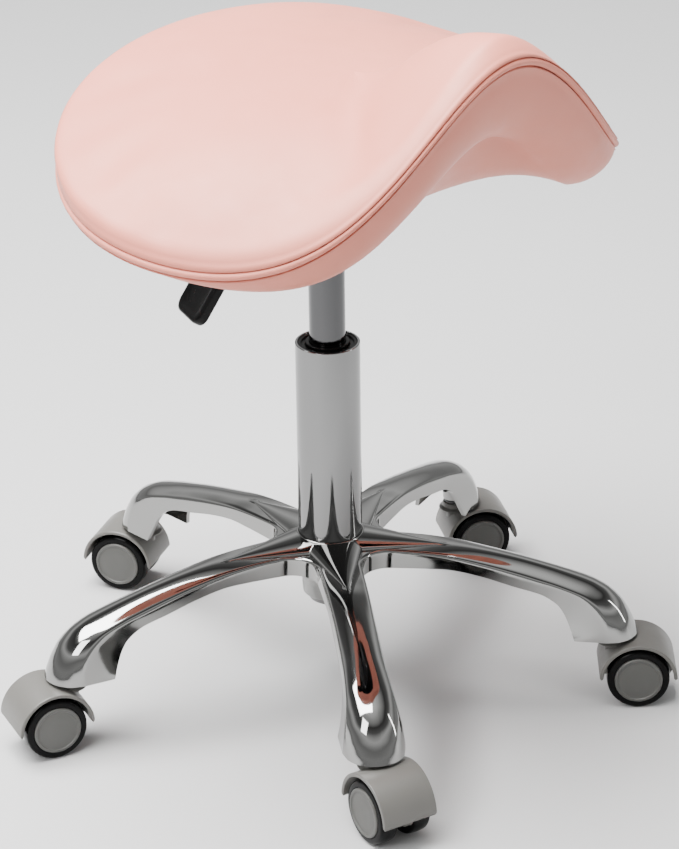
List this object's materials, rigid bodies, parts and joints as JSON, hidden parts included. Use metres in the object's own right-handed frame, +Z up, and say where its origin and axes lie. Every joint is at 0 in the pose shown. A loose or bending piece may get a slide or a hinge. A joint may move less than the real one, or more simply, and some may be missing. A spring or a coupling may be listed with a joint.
{
  "type": "adjustable swivel stool",
  "caption": "Height-adjustable saddle stool: padded saddle seat, gas lift with a paddle lever, polished five-leg star base and hooded twin-wheel casters.",
  "frame": {"origin": "on the floor under the column", "axes": "+Z up along the column, -Y toward the front of the seat, +X to the right of someone facing the stool's front"},
  "size_m": [0.534, 0.5126, 0.5721],
  "materials": {
    "cast_aluminium": "polished",
    "chrome": "polished",
    "cylinder_steel": "satin",
    "steel": "satin",
    "black_steel": "satin",
    "black_plastic": "satin",
    "black_rubber": "matte",
    "tyre": "gloss",
    "grey_plastic": "satin",
    "cap_plastic": "satin",
    "board_wood": "matte",
    "foam": "matte",
    "pink_leather": "satin",
    "cover_plastic": "matte"
  },
  "bodies": {
    "base": {"star_base": "cast_aluminium", "column_tube": "chrome", "guide_bushing": "black_plastic", "thrust_bearing": "steel", "caster_grip_rings": "steel"},
    "spindle": {"bearing_upper_race": "steel", "retaining_clip": "steel", "bump_stop": "black_rubber", "piston_rod": "steel", "piston": "steel"},
    "seat": {"gas_cylinder": "cylinder_steel", "rod_seal": "black_rubber", "seat_plate": "black_steel", "lever_pivot": "steel", "seat_board": "board_wood", "tee_nuts": "steel", "seat_bolts": "steel", "seat_foam": "foam", "seat_top_panel": "pink_leather", "seat_side_band": "pink_leather", "seat_piping": "pink_leather", "bottom_cover": "cover_plastic"},
    "lever": {"lever_rod": "black_steel", "lever_paddle": "black_plastic"},
    "valve_pin": {"valve_pin": "steel"},
    "caster_1": {"caster_stem_1": "black_steel", "caster_hood_1": "grey_plastic", "caster_axle_1": "steel"},
    "wheel_left_1": {"wheel_left_1": "tyre", "wheel_cap_left_1": "cap_plastic"},
    "wheel_right_1": {"wheel_right_1": "tyre", "wheel_cap_right_1": "cap_plastic"},
    "caster_2": {"caster_stem_2": "black_steel", "caster_hood_2": "grey_plastic", "caster_axle_2": "steel"},
    "wheel_left_2": {"wheel_left_2": "tyre", "wheel_cap_left_2": "cap_plastic"},
    "wheel_right_2": {"wheel_right_2": "tyre", "wheel_cap_right_2": "cap_plastic"},
    "caster_3": {"caster_stem_3": "black_steel", "caster_hood_3": "grey_plastic", "caster_axle_3": "steel"},
    "wheel_left_3": {"wheel_left_3": "tyre", "wheel_cap_left_3": "cap_plastic"},
    "wheel_right_3": {"wheel_right_3": "tyre", "wheel_cap_right_3": "cap_plastic"},
    "caster_4": {"caster_stem_4": "black_steel", "caster_hood_4": "grey_plastic", "caster_axle_4": "steel"},
    "wheel_left_4": {"wheel_left_4": "tyre", "wheel_cap_left_4": "cap_plastic"},
    "wheel_right_4": {"wheel_right_4": "tyre", "wheel_cap_right_4": "cap_plastic"},
    "caster_5": {"caster_stem_5": "black_steel", "caster_hood_5": "grey_plastic", "caster_axle_5": "steel"},
    "wheel_left_5": {"wheel_left_5": "tyre", "wheel_cap_left_5": "cap_plastic"},
    "wheel_right_5": {"wheel_right_5": "tyre", "wheel_cap_right_5": "cap_plastic"}
  },
  "joints": [
    {"name": "seat_swivel", "type": "hinge", "parent": "base", "child": "spindle", "pos_m": [0, 0, 0.1], "axis": [0, 0, 1], "continuous": true},
    {"name": "gas_lift", "type": "slide", "parent": "spindle", "child": "seat", "axis": [0, 0, 1], "range_m": [-0.075, 0.065]},
    {"name": "height_lever", "type": "hinge", "parent": "seat", "child": "lever", "pos_m": [-0.045, 0, 0.426], "axis": [0, 1, 0], "range_deg": [0, 6], "stiffness_Nm_per_rad": 6, "springref_deg": -2.86},
    {"name": "valve_press", "type": "slide", "parent": "seat", "child": "valve_pin", "axis": [0, 0, -1], "range_m": [0, 0.005]},
    {"name": "caster_1_swivel", "type": "hinge", "parent": "base", "child": "caster_1", "pos_m": [-0.13166, -0.18122, 0.058], "axis": [0, 0, 1], "continuous": true},
    {"name": "wheel_left_1_roll", "type": "hinge", "parent": "caster_1", "child": "wheel_left_1", "pos_m": [-0.13592, -0.19964, 0.025], "axis": [0.9744, -0.225, 0], "continuous": true},
    {"name": "wheel_right_1_roll", "type": "hinge", "parent": "caster_1", "child": "wheel_right_1", "pos_m": [-0.13592, -0.19964, 0.025], "axis": [0.9744, -0.225, 0], "continuous": true},
    {"name": "caster_2_swivel", "type": "hinge", "parent": "base", "child": "caster_2", "pos_m": [0.13166, -0.18122, 0.058], "axis": [0, 0, 1], "continuous": true},
    {"name": "wheel_left_2_roll", "type": "hinge", "parent": "caster_2", "child": "wheel_left_2", "pos_m": [0.14503, -0.19458, 0.025], "axis": [0.7071, 0.7071, 0], "continuous": true},
    {"name": "wheel_right_2_roll", "type": "hinge", "parent": "caster_2", "child": "wheel_right_2", "pos_m": [0.14503, -0.19458, 0.025], "axis": [0.7071, 0.7071, 0], "continuous": true},
    {"name": "caster_3_swivel", "type": "hinge", "parent": "base", "child": "caster_3", "pos_m": [0.21304, 0.06922, 0.058], "axis": [0, 0, 1], "continuous": true},
    {"name": "wheel_left_3_roll", "type": "hinge", "parent": "caster_3", "child": "wheel_left_3", "pos_m": [0.22906, 0.0592, 0.025], "axis": [0.5299, 0.848, 0], "continuous": true},
    {"name": "wheel_right_3_roll", "type": "hinge", "parent": "caster_3", "child": "wheel_right_3", "pos_m": [0.22906, 0.0592, 0.025], "axis": [0.5299, 0.848, 0], "continuous": true},
    {"name": "caster_4_swivel", "type": "hinge", "parent": "base", "child": "caster_4", "pos_m": [0, 0.224, 0.058], "axis": [0, 0, 1], "continuous": true},
    {"name": "wheel_left_4_roll", "type": "hinge", "parent": "caster_4", "child": "wheel_left_4", "pos_m": [-0.00858, 0.24084, 0.025], "axis": [-0.891, -0.454, 0], "continuous": true},
    {"name": "wheel_right_4_roll", "type": "hinge", "parent": "caster_4", "child": "wheel_right_4", "pos_m": [-0.00858, 0.24084, 0.025], "axis": [-0.891, -0.454, 0], "continuous": true},
    {"name": "caster_5_swivel", "type": "hinge", "parent": "base", "child": "caster_5", "pos_m": [-0.21304, 0.06922, 0.058], "axis": [0, 0, 1], "continuous": true},
    {"name": "wheel_left_5_roll", "type": "hinge", "parent": "caster_5", "child": "wheel_left_5", "pos_m": [-0.23091, 0.07537, 0.025], "axis": [-0.3256, -0.9455, 0], "continuous": true},
    {"name": "wheel_right_5_roll", "type": "hinge", "parent": "caster_5", "child": "wheel_right_5", "pos_m": [-0.23091, 0.07537, 0.025], "axis": [-0.3256, -0.9455, 0], "continuous": true}
  ],
  "couplings": [
    {"joint": "valve_press", "follows": "height_lever", "m_per_rad": 0.045}
  ]
}
